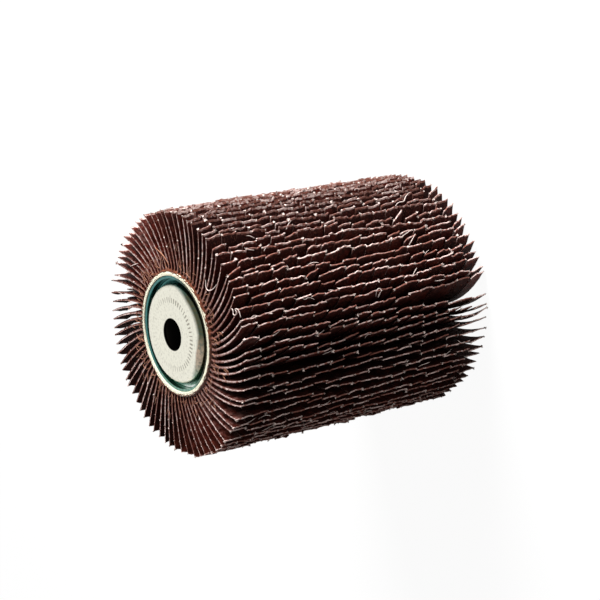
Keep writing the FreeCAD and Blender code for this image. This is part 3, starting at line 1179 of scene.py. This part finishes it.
class FLAPWHEEL_OT_hub(bpy.types.Operator):
    """Paper tube, two pressed flanges, spacer tube and the bed of resin"""
    bl_idname = "flapwheel.hub"
    bl_label = "Build the hub"

    def execute(self, context):
        hub = context.scene.hub_settings
        lip, edge = 0.18 * MM, 0.4 * MM
        spacer_top = OVERALL - SPACER_BOTTOM
        flange = flange_section(hub)
        sections = {
            "flange_front": flange,
            "flange_rear": [(r, OVERALL - z, rounding, facets) for r, z, rounding, facets in flange],
            "paper_tube": [
                (TUBE_IN, TUBE_BOTTOM, lip, 2), (TUBE_OUT, TUBE_BOTTOM, lip, 2),
                (TUBE_OUT, TUBE_TOP, lip, 2), (TUBE_IN, TUBE_TOP, lip, 2),
            ],
            "bore_tube": [
                (BORE_R, SPACER_BOTTOM, edge, 2), (SPACER_OUT, SPACER_BOTTOM, 0, 0),
                (SPACER_OUT, spacer_top, 0, 0), (BORE_R, spacer_top, edge, 2),
            ],
        }
        zinc = zinc_material(hub)
        for name, steps, material, slot_name, node in (
            ("flange_front", hub.steps, zinc, "flange_steel", "front_flange"),
            ("flange_rear", hub.steps, zinc, "flange_steel", "rear_flange"),
            ("paper_tube", hub.steps, paper_material(hub), "tube_paper", "core_tube"),
            ("bore_tube", SPACER_STEPS, steel_material(hub), "spacer_steel", "spacer_tube"),
        ):
            piece = turned(name, sections[name], steps)
            piece.data.materials.append(material)
            finish_piece(piece, slot_name, node)

        resin = resin_material(hub)
        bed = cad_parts["resin_bed"]
        bed.data.materials.clear()
        bed.data.materials.append(resin)
        draw = random.Random(hub.seed)
        for name, turned_over in (("glue_bead_front", False), ("glue_bead_rear", True)):
            glue_bead(name, turned_over, draw).data.materials.append(resin)
        return {"FINISHED"}


# Stage

# Where each lamp stands, in metres, and its power in watts
LAMPS = {"key_light": ((0.74, -0.12, 0.67), 9.5), "top_light": ((0.90, -0.08, 0.34), 19.0)}
LAMP_SIZE = 0.4


def area_light(name, place, aim, power):
    """A soft lamp. Gloss shows the white surroundings, and not the lamp itself."""
    bpy.ops.object.light_add(type="AREA", location=place)
    lamp = bpy.context.object
    lamp.name = name
    lamp.rotation_euler = (Vector(aim) - Vector(place)).to_track_quat("-Z", "Y").to_euler()
    lamp.data.size = LAMP_SIZE
    lamp.data.energy = power
    lamp.visible_glossy = False
    return lamp


def floor_material(stage):
    """Plain white card. It shows near white to the camera and to gloss, and keeps some of the shadow."""
    material, place = new_material("white_card")
    fleck = add_node(material, "TexNoise", {"Vector": place, "Scale": 1 / (40 * MM), "Detail": 2.0})
    card = add_node(material, "Mix", {
        FACTOR: fleck, COLOUR_A: opaque(stage.floor), COLOUR_B: opaque(stage.floor, 0.98),
    }, **MIXED)
    matt = add_node(material, "BsdfPrincipled", {"Base Color": card, "Roughness": 0.8})
    glow = add_node(material, "Emission", {"Color": (1, 1, 1, 1), "Strength": stage.white})
    camera = add_node(material, "LightPath")
    seen = add_node(material, "Math", {
        0: camera, 1: camera.node.outputs["Is Glossy Ray"],
    }, operation="MAXIMUM")
    part = add_node(material, "Math", {0: seen, 1: stage.glow}, operation="MULTIPLY")
    mixed = add_node(material, "MixShader", {0: part, 1: matt, 2: glow})
    add_node(material, "OutputMaterial", {"Surface": mixed})
    return material


class FLAPWHEEL_OT_stage(bpy.types.Operator):
    """Floor, lamps, world and camera"""
    bl_idname = "flapwheel.stage"
    bl_label = "Build the stage"

    def execute(self, context):
        stage = context.scene.stage_settings
        bpy.ops.mesh.primitive_plane_add(size=8, location=(0, 0, 0))
        floor = context.object
        floor.name = "floor"
        floor.data.materials.append(floor_material(stage))

        for name, (place, power) in LAMPS.items():
            area_light(name, place, (0, 0, MIDDLE), power)

        world = context.scene.world or bpy.data.worlds.new("studio")
        context.scene.world = world
        world.use_nodes = True
        background = world.node_tree.nodes["Background"]
        background.inputs["Color"].default_value = (1, 1, 1, 1)
        seen = add_node(world, "LightPath")
        rays = seen.node
        for other in ("Is Glossy Ray", "Is Transmission Ray"):
            seen = add_node(world, "Math", {0: seen, 1: rays.outputs[other]}, operation="MAXIMUM")
        strength = add_node(world, "MapRange", {"Value": seen, "To Min": stage.ambient})
        world.node_tree.links.new(strength, background.inputs["Strength"])

        bpy.ops.object.camera_add()
        camera = context.object
        camera.name = "camera"
        camera.data.lens = stage.lens
        camera.data.sensor_width = 36
        camera.data.clip_start = 0.01
        camera.matrix_world = (
            Matrix.Translation(Vector(stage.place))
            @ Matrix.Rotation(math.radians(90 - stage.pitch), 4, "X")
            @ Matrix.Rotation(math.radians(stage.roll), 4, "Z")
        )
        context.scene.camera = camera
        context.scene.view_settings.view_transform = "Standard"
        return {"FINISHED"}


class FLAPWHEEL_PT_panel(bpy.types.Panel):
    """Lists what builds the wheel"""
    bl_idname = "FLAPWHEEL_PT_panel"
    bl_label = "Flap wheel"
    bl_space_type = "VIEW_3D"
    bl_region_type = "UI"
    bl_category = "Flap wheel"

    def draw(self, context):
        for operator in (FLAPWHEEL_OT_hub, FLAPWHEEL_OT_flaps, FLAPWHEEL_OT_cotton, FLAPWHEEL_OT_stage):
            self.layout.operator(operator.bl_idname)
        for settings in ("flap_settings", "hub_settings", "stage_settings"):
            group = getattr(context.scene, settings)
            for name in group.bl_rna.properties.keys():
                if name not in ("rna_type", "name"):
                    self.layout.prop(group, name)


CLASSES = (
    FlapSettings, HubSettings, StageSettings,
    FLAPWHEEL_OT_hub, FLAPWHEEL_OT_flaps, FLAPWHEEL_OT_cotton, FLAPWHEEL_OT_stage, FLAPWHEEL_PT_panel,
)


def register():
    for cls in CLASSES:
        bpy.utils.register_class(cls)
    bpy.types.Scene.flap_settings = PointerProperty(type=FlapSettings)
    bpy.types.Scene.hub_settings = PointerProperty(type=HubSettings)
    bpy.types.Scene.stage_settings = PointerProperty(type=StageSettings)


def unregister():
    del bpy.types.Scene.stage_settings
    del bpy.types.Scene.hub_settings
    del bpy.types.Scene.flap_settings
    for cls in reversed(CLASSES):
        bpy.utils.unregister_class(cls)


def main():
    """Builds the wheel on its stage."""
    register()
    bpy.ops.flapwheel.hub()
    bpy.ops.flapwheel.flaps()
    bpy.ops.flapwheel.cotton()
    bpy.ops.flapwheel.stage()


if __name__ == "__main__":
    main()
